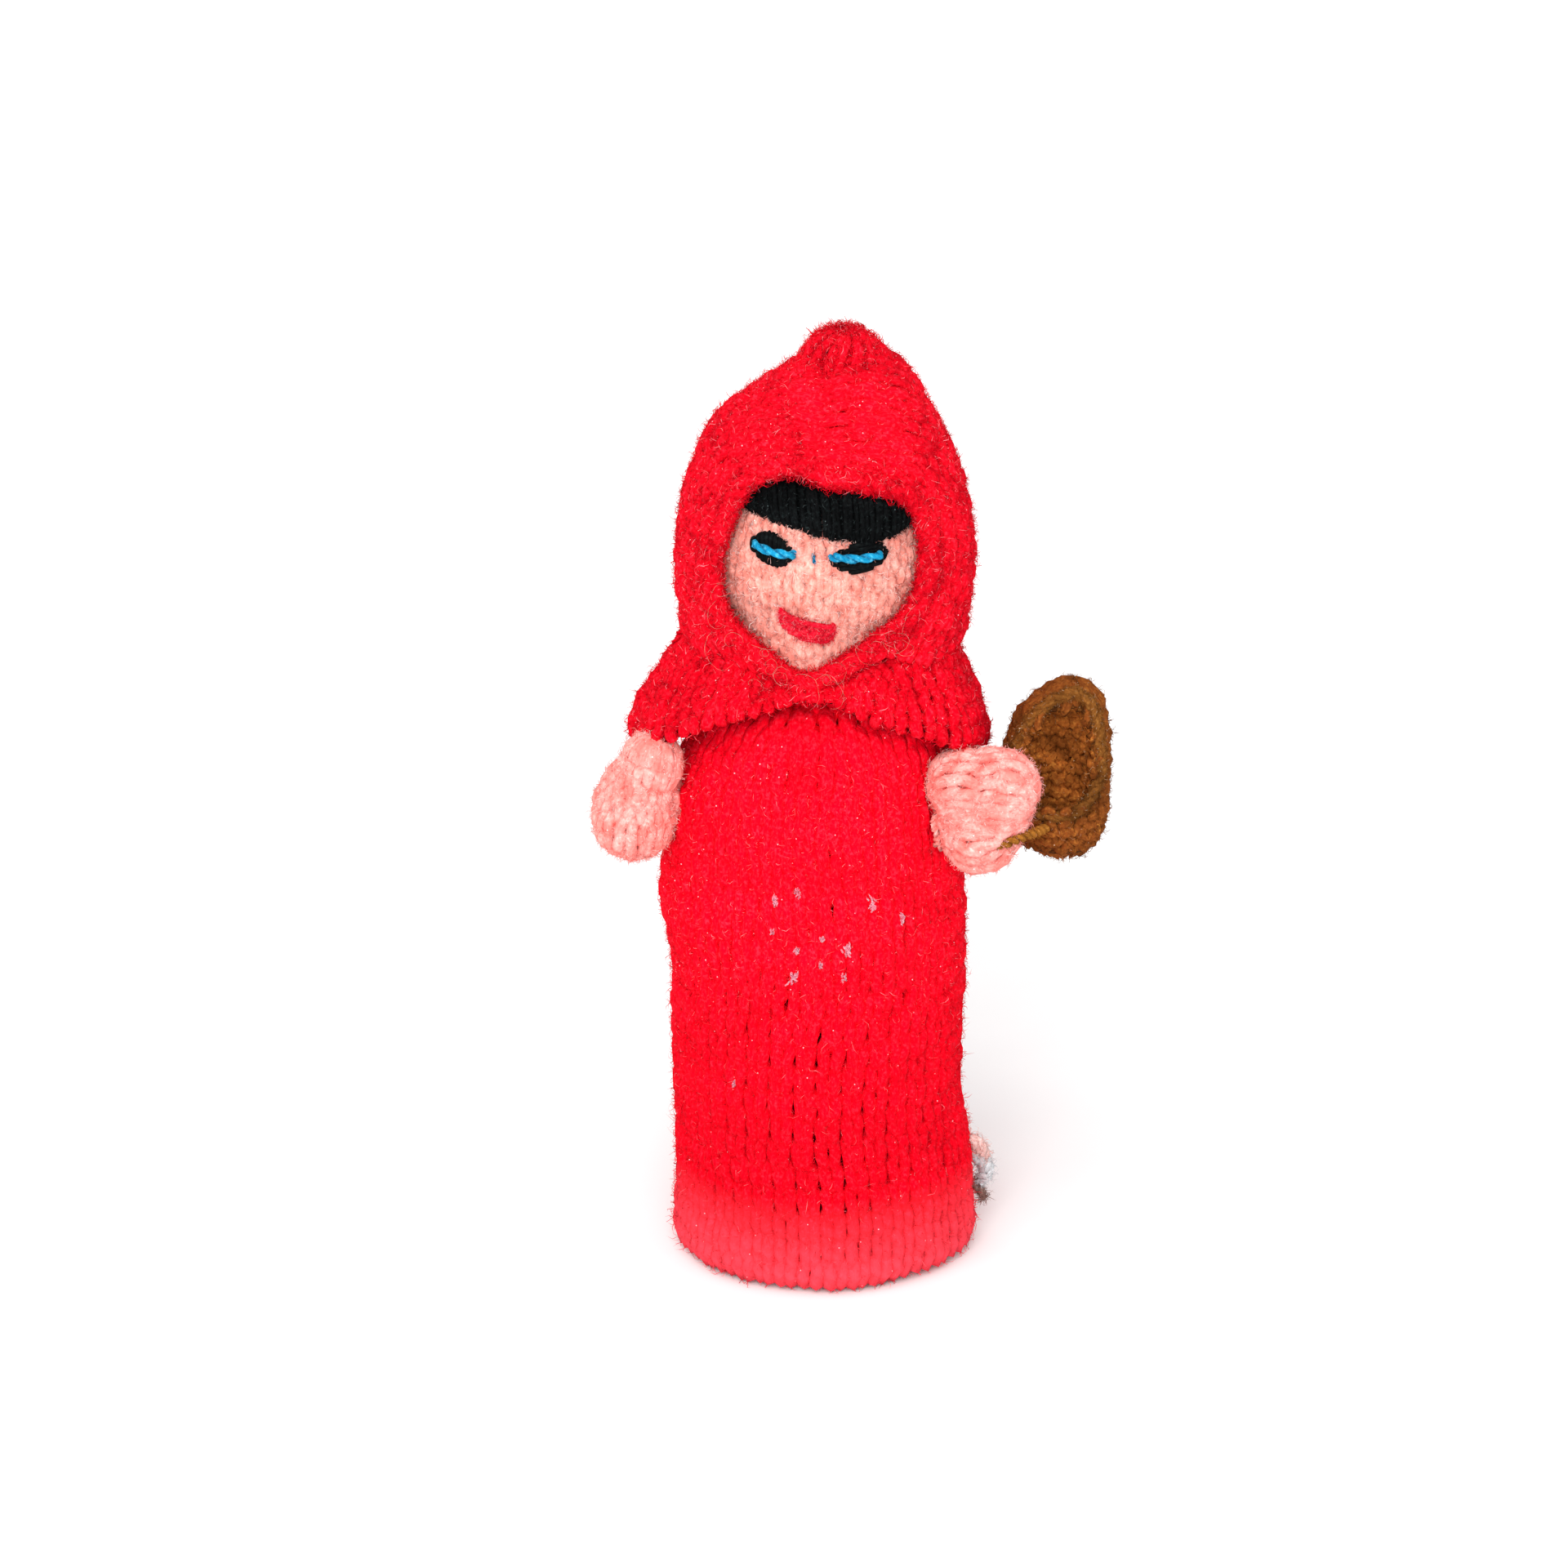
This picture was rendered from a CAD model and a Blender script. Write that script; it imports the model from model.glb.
# Knitted finger puppet: the looks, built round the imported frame. Lengths in the code are in millimetres and become metres in the meshes.
import bpy, math
import numpy as np
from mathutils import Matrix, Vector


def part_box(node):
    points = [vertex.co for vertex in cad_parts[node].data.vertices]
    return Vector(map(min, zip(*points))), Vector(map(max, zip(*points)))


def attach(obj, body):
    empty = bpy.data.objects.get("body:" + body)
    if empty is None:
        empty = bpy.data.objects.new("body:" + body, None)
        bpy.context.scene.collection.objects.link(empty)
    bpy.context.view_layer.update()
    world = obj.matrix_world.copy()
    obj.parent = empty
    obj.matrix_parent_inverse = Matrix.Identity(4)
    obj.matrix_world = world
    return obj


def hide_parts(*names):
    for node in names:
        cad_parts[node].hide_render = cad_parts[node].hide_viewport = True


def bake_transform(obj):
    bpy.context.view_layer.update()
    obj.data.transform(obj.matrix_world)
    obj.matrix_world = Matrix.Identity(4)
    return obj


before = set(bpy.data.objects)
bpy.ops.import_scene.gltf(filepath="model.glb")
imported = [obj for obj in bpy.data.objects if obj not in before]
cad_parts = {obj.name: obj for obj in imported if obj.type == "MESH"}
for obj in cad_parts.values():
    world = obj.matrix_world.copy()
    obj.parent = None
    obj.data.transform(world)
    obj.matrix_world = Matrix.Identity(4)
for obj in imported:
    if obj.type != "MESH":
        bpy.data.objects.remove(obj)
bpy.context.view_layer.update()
TAU = 2 * math.pi


# ---------------------------------------------------------------- small helpers
def mm(node):
    lo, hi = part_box(node)
    return np.array(lo) * 1000, np.array(hi) * 1000


def unit(v):
    return v / np.maximum(np.linalg.norm(v, axis=-1, keepdims=True), 1e-12)


def smooth01(t):
    t = np.clip(t, 0, 1)
    return t * t * (3 - 2 * t)


def chaikin(p, n=3, closed=False):
    p = np.array(p, float)
    for _ in range(n):
        if closed:
            q = np.roll(p, -1, axis=0)
            p = np.stack([0.75 * p + 0.25 * q, 0.25 * p + 0.75 * q], 1).reshape(-1, p.shape[1])
        else:
            a, b = p[:-1], p[1:]
            m = np.stack([0.75 * a + 0.25 * b, 0.25 * a + 0.75 * b], 1).reshape(-1, p.shape[1])
            p = np.concatenate([p[:1], m, p[-1:]])
    return p


def arc(p):
    return np.concatenate([[0], np.cumsum(np.linalg.norm(np.diff(p, axis=0), axis=1))])


def along(p, s):
    """Points of polyline p at arc lengths s."""
    a = arc(p)
    return np.stack([np.interp(s, a, p[:, k]) for k in range(p.shape[1])], -1)


class Field:
    """Smooth random values over a grid, seeded."""
    def __init__(self, seed, nu, nv, wrap=False):
        r = np.random.default_rng(seed)
        self.g, self.nu, self.nv, self.wrap = r.uniform(-1, 1, (nu + 2, nv + 3)), nu, nv, wrap
        if wrap:
            self.g[nu] = self.g[0]

    def __call__(self, u, v):
        if self.wrap:
            u = np.mod(u, self.nu)
        u, v = np.clip(u, 0, self.nu + 0.999), np.clip(v + 1, 0, self.nv + 1.999)
        i, j = u.astype(int), v.astype(int)
        a, b = smooth01(u - i), smooth01(v - j)
        g = self.g
        return (g[i, j] * (1 - a) + g[i + 1, j] * a) * (1 - b) + (g[i, j + 1] * (1 - a) + g[i + 1, j + 1] * a) * b


class Tubes:
    """Many yarns gathered into one mesh, with a UV map along and round each yarn, the height in the fabric and a tone."""
    def __init__(self):
        self.v, self.n, self.lift, self.tone, self.quads, self.tris, self.quv, self.tuv, self.count = [], [], [], [], [], [], [], [], 0

    def add(self, P, R, N=None, closed=False, sides=6, h=None, H=1.0, tone=0.5, flat=1.0, caps=True):
        P = np.asarray(P, float)
        if P.ndim == 2:
            P = P[None]
            N = None if N is None else np.asarray(N)[None]
            h = None if h is None else np.asarray(h)[None]
        K, M, _ = P.shape
        R = np.broadcast_to(np.asarray(R, float), (K, M))
        T = unit(np.roll(P, -1, 1) - np.roll(P, 1, 1)) if closed else unit(np.gradient(P, axis=1))
        if N is None:
            ref = np.where(np.abs(T[:, 0, 2:3]) < 0.9, [[0, 0, 1.0]], [[1.0, 0, 0]])
            A = np.zeros_like(P)
            a = unit(ref - (ref * T[:, 0]).sum(-1, keepdims=True) * T[:, 0])
            for i in range(M):
                a = unit(a - (a * T[:, i]).sum(-1, keepdims=True) * T[:, i])
                A[:, i] = a
        else:
            A = unit(N - (N * T).sum(-1, keepdims=True) * T)
        B = np.cross(T, A)
        th = np.arange(sides) / sides * TAU
        c, s = np.cos(th), np.sin(th)
        nrm = A[:, :, None] * c[None, None, :, None] + B[:, :, None] * s[None, None, :, None]
        off = A[:, :, None] * (c * flat)[None, None, :, None] + B[:, :, None] * s[None, None, :, None]
        V = P[:, :, None] + off * R[:, :, None, None]
        hh = (np.zeros((K, M)) if h is None else np.asarray(h)) [:, :, None] + R[:, :, None] * c[None, None, :] * flat
        lift = np.clip(0.5 + 0.5 * hh / H, 0, 1)
        tn = np.broadcast_to(np.asarray(tone, float).reshape(-1, 1, 1) if np.ndim(tone) == 1 else np.asarray(tone, float)[..., None] if np.ndim(tone) == 2 else np.full((1, 1, 1), float(tone)), (K, M, sides))
        base = self.count + np.arange(K)[:, None, None] * M * sides
        i, j = np.arange(M if closed else M - 1), np.arange(sides)
        i2, j2 = (i + 1) % M, (j + 1) % sides
        q = np.stack([i[:, None] * sides + j, i2[:, None] * sides + j, i2[:, None] * sides + j2, i[:, None] * sides + j2], -1)
        self.quads.append((base[..., None] + q[None]).reshape(-1, 4))
        seg = np.linalg.norm(np.roll(P, -1, 1) - P, axis=-1)
        S = np.concatenate([np.zeros((K, 1)), np.cumsum(seg, 1)], 1)
        s0, s1 = S[:, :M][:, i], S[:, 1:][:, i]
        t0, t1 = j / sides, (j + 1) / sides
        sh = (K, len(i), sides)
        uv = np.stack([np.stack([np.broadcast_to(x[:, :, None], sh), np.broadcast_to(y[None, None], sh)], -1)
                       for x, y in ((s0, t0), (s1, t0), (s1, t1), (s0, t1))], -2)
        self.quv.append(uv.reshape(-1, 2))
        self.v.append(V.reshape(-1, 3)); self.n.append(nrm.reshape(-1, 3))
        self.lift.append(lift.reshape(-1)); self.tone.append(tn.reshape(-1))
        self.count += K * M * sides
        if not closed and caps:
            for end, sign in ((0, -1), (M - 1, 1)):
                tip = P[:, end] + sign * T[:, end] * R[:, end, None] * 0.6
                pole = self.count + np.arange(K)
                ring = base[:, 0, 0][:, None] + end * sides + j[None]
                nxt = base[:, 0, 0][:, None] + end * sides + j2[None]
                tri = np.stack([ring, nxt, np.broadcast_to(pole[:, None], ring.shape)] if sign > 0 else [nxt, ring, np.broadcast_to(pole[:, None], ring.shape)], -1)
                self.tris.append(tri.reshape(-1, 3))
                su = S[:, M - 1 if end else 0]
                self.tuv.append(np.broadcast_to(np.stack([su, su * 0], -1)[:, None, None], (K, sides, 3, 2)).reshape(-1, 2))
                self.v.append(tip); self.n.append(sign * T[:, end])
                self.lift.append(lift[:, end].mean(-1)); self.tone.append(tn[:, end, 0])
                self.count += K

    def arrays(self):
        return np.concatenate(self.v), np.concatenate(self.n), np.concatenate(self.lift), np.concatenate(self.tone)

    def build(self, name):
        V, _, L, T = self.arrays()
        V = V.copy()
        V[:, 2] = np.maximum(V[:, 2], 0.02)
        faces = np.concatenate(self.quads).tolist() + (np.concatenate(self.tris).tolist() if self.tris else [])
        uv = np.concatenate(self.quv + self.tuv)
        return solid(name, V, faces, uv, L, T)


def solid(name, V, faces, uv=None, lift=None, tone=None):
    me = bpy.data.meshes.new(name)
    me.from_pydata((np.asarray(V) * 0.001).tolist(), [], faces)
    if uv is not None:
        lay = me.uv_layers.new(name="yarn")
        lay.data.foreach_set("uv", uv.astype(np.float32).reshape(-1))
    for key, val in (("lift", lift), ("tone", tone)):
        at = me.attributes.new(key, "FLOAT", "POINT")
        at.data.foreach_set("value", np.broadcast_to(np.asarray(0.5 if val is None else val, np.float32), (len(V),)).copy())
    me.polygons.foreach_set("use_smooth", np.ones(len(me.polygons), bool))
    me.update()
    ob = bpy.data.objects.new(name, me)
    bpy.context.scene.collection.objects.link(ob)
    return ob


def normals(surface, u, v, out, e=0.02):
    du = surface(u + e, v) - surface(u - e, v)
    dv = surface(u, v + e) - surface(u, v - e)
    n = unit(np.cross(du, dv))
    p = surface(u, v)
    s = np.sign((n * (p - out(p))).sum(-1, keepdims=True))
    return n * np.where(s == 0, 1, s)


def knit(tubes, surface, out, rows, cols, r=0.58, D=0.5, A=0.78, a=0.13, b=0.04, closed=True, per=14, sides=6, seed=1,
         wob=0.07, rough=0.12, u0=0.0, fat=None, purl=False, span=None):
    """Stocking stitch on surface(u, v): u counts wales and v courses. Each course is one yarn: loops drawn through the course below, legs to the outside."""
    rows = list(rows)
    fu, fv = Field(seed, cols, len(rows) + 2, closed), Field(seed + 1, cols, len(rows) + 2, closed)
    fz, fr = Field(seed + 2, cols * 2, len(rows) + 2, closed), Field(seed + 3, cols * 3, len(rows) + 2, closed)
    rg = np.random.default_rng(seed + 4)
    n = cols * per
    t = np.arange(n + (0 if closed else 1)) / per * TAU
    X = t / TAU + a * np.sin(2 * t) + b * np.sin(t)
    Y = -A * np.cos(t)
    Z = (D if purl else -D) * np.cos(2 * t)
    P, N, H, R, tone = [], [], [], [], []
    for k, row in enumerate(rows):
        ph = rg.uniform(-0.06, 0.06)
        u = X + ph
        u = u + wob * fu(u, np.full_like(u, k)) * 1.6
        v = row + Y + wob * fv(u, Y + k) * 1.6
        z = Z + rough * fz(u * 2, Y + k)
        uu = u0 + u if span is None else span(row, u / cols)
        p = surface(uu, v)
        nn = normals(surface, uu, v, out)
        P.append(p + nn * z[:, None]); N.append(nn); H.append(z)
        rr = r * (1 + 0.10 * fr(u * 3, np.full_like(u, k)))
        R.append(rr * (fat(p) if fat is not None else 1))
        tone.append(0.5 + 0.28 * fu(u * 0.5, np.full_like(u, k)) + 0.22 * rg.uniform(-1, 1))
    tubes.add(np.array(P), np.array(R), np.array(N), closed=closed, sides=sides, h=np.array(H), H=D + r, tone=np.array(tone))
    return tubes


def ply(tubes, path, r, twist=2.2, plies=2, closed=False, spread=0.55, sides=6, seed=3, N=None, tone=0.5, taper=0.0, step=0.35):
    """A yarn of twisted plies along a path."""
    path = np.asarray(path, float)
    if closed:
        path = np.concatenate([path, path[:1]])
    L = arc(path)[-1]
    n = max(6, int(L / step))
    s = np.linspace(0, L, n, endpoint=not closed)
    c = along(path, s)
    T = unit(np.roll(c, -1, 0) - np.roll(c, 1, 0)) if closed else unit(np.gradient(c, axis=0))
    ref = np.array([0, -1.0, 0]) if N is None else np.asarray(N, float)
    A = ref - (ref * T).sum(-1, keepdims=True) * T
    A = unit(A + 1e-6)
    B = np.cross(T, A)
    turns = max(1, round(L / twist)) if closed else L / twist
    rg = np.random.default_rng(seed)
    for k in range(plies):
        w = s / L * turns * TAU + k / plies * TAU + rg.uniform(-0.2, 0.2)
        f = 1 - taper * smooth01((s / L - 0.7) / 0.3) if taper else np.ones(n)
        rad = r * spread * f
        P = c + (A * np.cos(w)[:, None] + B * np.sin(w)[:, None]) * rad[:, None]
        rr = r * (1 - spread * 0.55) * f * (1 + 0.05 * np.sin(s * 5 + k))
        out = A * np.cos(w)[:, None] + B * np.sin(w)[:, None]
        tubes.add(P[None], rr[None], out[None], closed=closed, sides=sides, h=(rad * np.cos(w))[None], H=r, tone=np.full(1, tone + 0.15 * rg.uniform(-1, 1)))
    return tubes


def fuzz(name, source, count, length, seed, keep=None, rad=0.026, low=0.45, out=0.8, stiff=0.55, lying=0.0, pale=7.0):
    """Short loose fibres: some stand off the yarns of a Tubes set, the lying share is matted over them."""
    V, N, L, _ = source.arrays()
    rg = np.random.default_rng(seed)
    n1 = int(count * (1 - lying))
    ok, high = L > low, L > max(low, 0.62)
    if keep is not None:
        k = keep(V)
        ok, high = ok & k, high & k
    i = np.concatenate([rg.choice(np.nonzero(ok)[0], n1), rg.choice(np.nonzero(high)[0], count - n1)])
    flat = (np.arange(count) >= n1)[:, None]
    root, n = V[i], N[i]
    side = unit(np.cross(n, rg.normal(size=(count, 3))))
    other = np.cross(n, side)
    d = unit(n * (out * rg.uniform(0.25, 1.2, (count, 1))) + side * rg.uniform(0.2, 1.1, (count, 1)))
    bend = unit(other * rg.uniform(-1, 1, (count, 1)) + side * rg.uniform(-1, 1, (count, 1)) - n * 0.35)
    ln = length * (0.35 + 1.0 * rg.random((count, 1)) ** 1.6 * 1.4)
    up, turn = rg.uniform(0.05, 0.26, (count, 1)), rg.uniform(-1, 1, (count, 1))
    p0 = root - n * 0.12
    p1 = np.where(flat, root + side * ln * 0.55 + n * up, root + d * ln * stiff + bend * ln * 0.10)
    p2 = np.where(flat, root + side * ln * 1.0 + other * turn * ln * 0.5 + n * (up - 0.12), root + d * ln * (stiff + 0.25) + bend * ln * 0.55)
    P = np.stack([p0, p1, p2], 1)
    T = unit(np.gradient(P, axis=1))
    A = unit(np.cross(T, side[:, None] + 0.01))
    B = np.cross(T, A)
    th = np.arange(3) / 3 * TAU
    R = rad * rg.uniform(0.7, 1.4, (count, 1)) * np.array([[1.0, 0.9]])
    ring = P[:, :2, None] + (A[:, :2, None] * np.cos(th)[None, None, :, None] + B[:, :2, None] * np.sin(th)[None, None, :, None]) * R[:, :, None, None]
    V2 = np.concatenate([ring.reshape(count, 6, 3), p2[:, None]], 1).reshape(-1, 3)
    V2[:, 2] = np.maximum(V2[:, 2], 0.02)
    b = (np.arange(count) * 7)[:, None, None]
    q = np.array([[0, 1, 4, 3], [1, 2, 5, 4], [2, 0, 3, 5]])
    tr = np.array([[3, 4, 6], [4, 5, 6], [5, 3, 6], [2, 1, 0]])
    faces = (b + q[None]).reshape(-1, 4).tolist() + (b + tr[None]).reshape(-1, 3).tolist()
    tone = np.repeat(rg.random(count), 7)
    light = np.repeat(rg.random(count) ** pale, 7)
    return solid(name, V2, faces, None, 0.75 + 0.75 * light, tone)


def curls(name, roots, seed, length=(6, 14), rad=0.028, turn=1.6, face=(0, -1, 0)):
    """Long curly fibres lying loosely in front of the fabric."""
    rg = np.random.default_rng(seed)
    t = Tubes()
    for p in roots:
        ln, n = rg.uniform(*length), 22
        w = np.cumsum(rg.normal(0, 1, n)) * 0.22 + np.linspace(0, rg.uniform(-1, 1) * turn * TAU, n) + rg.uniform(0, TAU)
        f = unit(np.array(face, float))
        x = unit(np.cross(f, [0, 0, 1.0])); y = np.cross(x, f)
        d = np.cos(w)[:, None] * x + np.sin(w)[:, None] * y + f * (0.35 * np.sin(np.linspace(0, math.pi, n)))[:, None]
        P = p + np.cumsum(d, 0) * ln / n
        back = np.linspace(0, 1, n)[:, None]
        t.add(P - (P - p) * 0.15 * back, (rad * (1 - 0.6 * back[:, 0] ** 2))[None], sides=3, tone=np.full(1, rg.random()))
    return t.build(name)


def sheet_of(name, surface, us, vs, out, thick=0.25, offset=0.0, wrap=False, keep=None):
    """The felted backing of a knitted fabric: a thin continuous sheet in the middle of its stitches."""
    U, Vv = np.meshgrid(us, vs, indexing="ij")
    P = surface(U, Vv) + normals(surface, U, Vv, out) * offset
    a, b = len(us), len(vs)
    i, j = np.arange(a if wrap else a - 1), np.arange(b - 1)
    i2 = (i + 1) % a
    q = np.stack([i[:, None] * b + j, i2[:, None] * b + j, i2[:, None] * b + j + 1, i[:, None] * b + j + 1], -1).reshape(-1, 4)
    if keep is not None:
        c = P.reshape(-1, 3)[q].mean(1)
        q = q[keep(c)]
    ob = solid(name, P.reshape(-1, 3), q.tolist(), None, 0.18, 0.4)
    m = ob.modifiers.new("thickness", "SOLIDIFY")
    m.thickness, m.offset = thick * 0.001, 0
    return ob


def lump(name, node, seed, amp=0.35, scale=0.9, power=2.0, up=0.0):
    """Stuffing: an uneven closed lump that fills a node's box."""
    lo, hi = mm(node)
    c, h = (lo + hi) / 2 + [0, 0, up], (hi - lo) / 2 * scale
    rg = np.random.default_rng(seed)
    nu, nv = 48, 26
    u, v = np.meshgrid(np.arange(nu) / nu * TAU, np.linspace(0, math.pi, nv)[1:-1], indexing="ij")
    f = Field(seed, 14, 10, True)
    d = 1 + amp * 0.12 * (f(u / TAU * 14, v / math.pi * 10) + 0.5 * f(u / TAU * 14 * 2 % 14, v / math.pi * 9.5))
    sx = np.abs(np.sin(v)) ** (2 / power)
    x = np.sign(np.cos(u)) * np.abs(np.cos(u)) ** 1 * sx
    P = np.stack([c[0] + h[0] * d * x, c[1] + h[1] * d * np.sin(u) * sx, c[2] + h[2] * d * np.sign(np.cos(v)) * np.abs(np.cos(v)) ** (2 / power)], -1)
    V = np.concatenate([P.reshape(-1, 3), [[c[0], c[1], c[2] + h[2]], [c[0], c[1], c[2] - h[2]]]])
    b = nv - 2
    i, j = np.arange(nu), np.arange(b - 1)
    q = np.stack([i[:, None] * b + j, i[:, None] * b + j + 1, ((i[:, None] + 1) % nu) * b + j + 1, ((i[:, None] + 1) % nu) * b + j], -1).reshape(-1, 4).tolist()
    top, bot = nu * b, nu * b + 1
    t = [[top, k * b, ((k + 1) % nu) * b] for k in range(nu)] + [[bot, ((k + 1) % nu) * b + b - 1, k * b + b - 1] for k in range(nu)]
    return solid(name, V, q + t, None, 0.6, 0.5)


# ---------------------------------------------------------------- materials
def yarn_material(name, bright, deep, pale, sheen=0.5, ply_turn=1.1, fleck=0.5, rough=0.82, bump=1.0, mottle=0.35, fleck_col=(1, 0.45, 0.5), lower=None, blotch=260.0):
    """Spun yarn: plies and fibres along it, deep colour between the stitches, paler fibres on top and a few glinting ones."""
    m = bpy.data.materials.new(name)
    m.use_nodes = True
    nt = m.node_tree
    N, L = nt.nodes, nt.links
    bs = N["Principled BSDF"]

    def node(kind, **kw):
        n = N.new(kind)
        for k, v in kw.items():
            setattr(n, k, v)
        return n

    def math_(op, a, b=None):
        n = node("ShaderNodeMath", operation=op)
        for s, x in ((0, a), (1, b)):
            if x is None:
                continue
            if isinstance(x, (int, float)):
                n.inputs[s].default_value = x
            else:
                L.new(x, n.inputs[s])
        return n.outputs[0]

    def mix(fac, a, b, mode="MIX"):
        n = node("ShaderNodeMix", data_type="RGBA", blend_type=mode)
        for s, x in ((0, fac), (6, a), (7, b)):
            if isinstance(x, (int, float)):
                n.inputs[s].default_value = x
            elif isinstance(x, tuple):
                n.inputs[s].default_value = (*x, 1)
            else:
                L.new(x, n.inputs[s])
        return n.outputs[2]

    def ramp(x, a, b, lo=0.0, hi=1.0):
        n = node("ShaderNodeMapRange")
        L.new(x, n.inputs[0])
        for k, v in zip((1, 2, 3, 4), (a, b, lo, hi)):
            n.inputs[k].default_value = v
        return n.outputs[0]

    lift = node("ShaderNodeAttribute", attribute_name="lift").outputs["Fac"]
    tone = node("ShaderNodeAttribute", attribute_name="tone").outputs["Fac"]
    uv = node("ShaderNodeUVMap", uv_map="yarn").outputs[0]
    sp = node("ShaderNodeSeparateXYZ")
    L.new(uv, sp.inputs[0])
    co = node("ShaderNodeTexCoord").outputs["Object"]
    wave = math_("SINE", math_("MULTIPLY", math_("ADD", math_("MULTIPLY", sp.outputs[0], 1 / ply_turn), math_("MULTIPLY", sp.outputs[1], 2.0)), TAU))
    # fibres lie along the yarn
    fib = node("ShaderNodeMapping")
    L.new(uv, fib.inputs[0])
    fib.inputs["Scale"].default_value = (1.1, 9.0, 1)
    n1 = node("ShaderNodeTexNoise")
    n1.inputs["Scale"].default_value, n1.inputs["Detail"].default_value = 2.2, 3.0
    L.new(fib.outputs[0], n1.inputs["Vector"])
    n2 = node("ShaderNodeTexNoise")
    n2.inputs["Scale"].default_value, n2.inputs["Detail"].default_value = 3200.0, 2.0
    L.new(co, n2.inputs["Vector"])
    n3 = node("ShaderNodeTexNoise")
    n3.inputs["Scale"].default_value, n3.inputs["Detail"].default_value = blotch, 3.0
    L.new(co, n3.inputs["Vector"])
    # colour from the depth in the fabric
    col = mix(ramp(lift, 0.22, 0.72), deep, bright)
    col = mix(math_("MULTIPLY", ramp(n1.outputs[0], 0.48, 0.72), 0.45), col, pale)
    col = mix(math_("MULTIPLY", ramp(n2.outputs[0], 0.55, 0.67), 0.6), col, pale)
    col = mix(math_("MULTIPLY", ramp(n2.outputs[0], 0.45, 0.36), 0.3), col, deep)
    col = mix(math_("MULTIPLY", ramp(n3.outputs[0], 0.58, 0.38), mottle), col, deep)
    col = mix(ramp(lift, 1.0, 1.5), col, tuple(0.45 * x + 0.55 * y for x, y in zip(pale, fleck_col)))
    if lower:
        # the rolled hem is rubbed paler
        zed = node("ShaderNodeSeparateXYZ")
        L.new(co, zed.inputs[0])
        col = mix(ramp(zed.outputs[2], 0.036, 0.020, 0.0, 0.26), col, deep)
        col = mix(ramp(zed.outputs[2], 0.0095, 0.0005, 0.0, 0.72), col, lower)
    shade = ramp(tone, 0.0, 1.0, 0.84, 1.08)
    shade2 = math_("MULTIPLY", shade, ramp(wave, -1.0, 1.0, 0.9, 1.04))
    g = node("ShaderNodeHueSaturation")
    L.new(shade2, g.inputs["Value"])
    L.new(col, g.inputs["Color"])
    col = g.outputs[0]
    if fleck:
        vo = node("ShaderNodeTexVoronoi")
        vo.inputs["Scale"].default_value = 2300.0
        L.new(co, vo.inputs["Vector"])
        wn = node("ShaderNodeTexWhiteNoise")
        L.new(vo.outputs["Position"], wn.inputs["Vector"])
        pick = math_("MULTIPLY", math_("LESS_THAN", wn.outputs["Value"], 0.13 * fleck), ramp(vo.outputs["Distance"], 0.17, 0.10))
        col = mix(pick, col, fleck_col)
    L.new(col, bs.inputs["Base Color"])
    bs.inputs["Roughness"].default_value = rough
    L.new(ramp(n1.outputs[0], 0.3, 0.7, rough - 0.12, min(1.0, rough + 0.1)), bs.inputs["Roughness"])
    bs.inputs["Specular IOR Level"].default_value = 0.03
    bs.inputs["Sheen Weight"].default_value = sheen
    bs.inputs["Sheen Roughness"].default_value = 0.45
    bs.inputs["Sheen Tint"].default_value = (*pale, 1)
    hgt = math_("ADD", math_("MULTIPLY", wave, 0.35), math_("ADD", math_("MULTIPLY", n1.outputs[0], 0.9), math_("MULTIPLY", n2.outputs[0], 0.5)))
    bp = node("ShaderNodeBump")
    bp.inputs["Strength"].default_value = 0.9
    bp.inputs["Distance"].default_value = 0.00012 * bump
    L.new(hgt, bp.inputs["Height"])
    L.new(bp.outputs[0], bs.inputs["Normal"])
    return m


MAT = {}
def mat(key):
    return MAT[key]

MAT["dress"] = yarn_material("red_dress_yarn", (0.97, 0.0, 0.013), (0.50, 0.0, 0.004), (1.0, 0.03, 0.065), sheen=0.0, mottle=0.25, lower=(0.96, 0.085, 0.12))
MAT["cape"] = yarn_material("red_cape_yarn", (0.83, 0.0, 0.011), (0.3, 0.0, 0.003), (0.96, 0.03, 0.06), sheen=0.0)
MAT["hood"] = yarn_material("red_hood_yarn", (0.86, 0.001, 0.013), (0.36, 0.0, 0.004), (0.98, 0.035, 0.07), sheen=0.0)
MAT["edge"] = yarn_material("red_edge_yarn", (0.86, 0.001, 0.013), (0.36, 0.0, 0.004), (0.98, 0.035, 0.07), sheen=0.0)
MAT["face"] = yarn_material("peach_face_yarn", (0.95, 0.41, 0.335), (0.78, 0.20, 0.15), (1.0, 0.66, 0.58), sheen=0.08, fleck_col=(1, 0.96, 0.93), mottle=0.65, blotch=750.0)
MAT["arm"] = yarn_material("pink_arm_yarn", (1.0, 0.37, 0.33), (0.90, 0.17, 0.14), (1.0, 0.66, 0.60), sheen=0.08, fleck_col=(1, 0.95, 0.92), mottle=0.7, blotch=600.0)
MAT["basket"] = yarn_material("brown_basket_yarn", (0.225, 0.058, 0.011), (0.08, 0.02, 0.004), (0.44, 0.15, 0.026), sheen=0.05, fleck=0.4, fleck_col=(0.7, 0.5, 0.35), mottle=0.6)
MAT["lining"] = yarn_material("orange_brown_lining_yarn", (0.46, 0.13, 0.022), (0.13, 0.032, 0.006), (0.74, 0.28, 0.05), sheen=0.05, fleck=0.4, fleck_col=(0.8, 0.6, 0.4), mottle=0.8)
MAT["rim"] = yarn_material("olive_rim_yarn", (0.22, 0.076, 0.014), (0.08, 0.025, 0.005), (0.38, 0.16, 0.035), sheen=0.05, fleck=0.3, fleck_col=(0.7, 0.55, 0.4), mottle=0.6)
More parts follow.
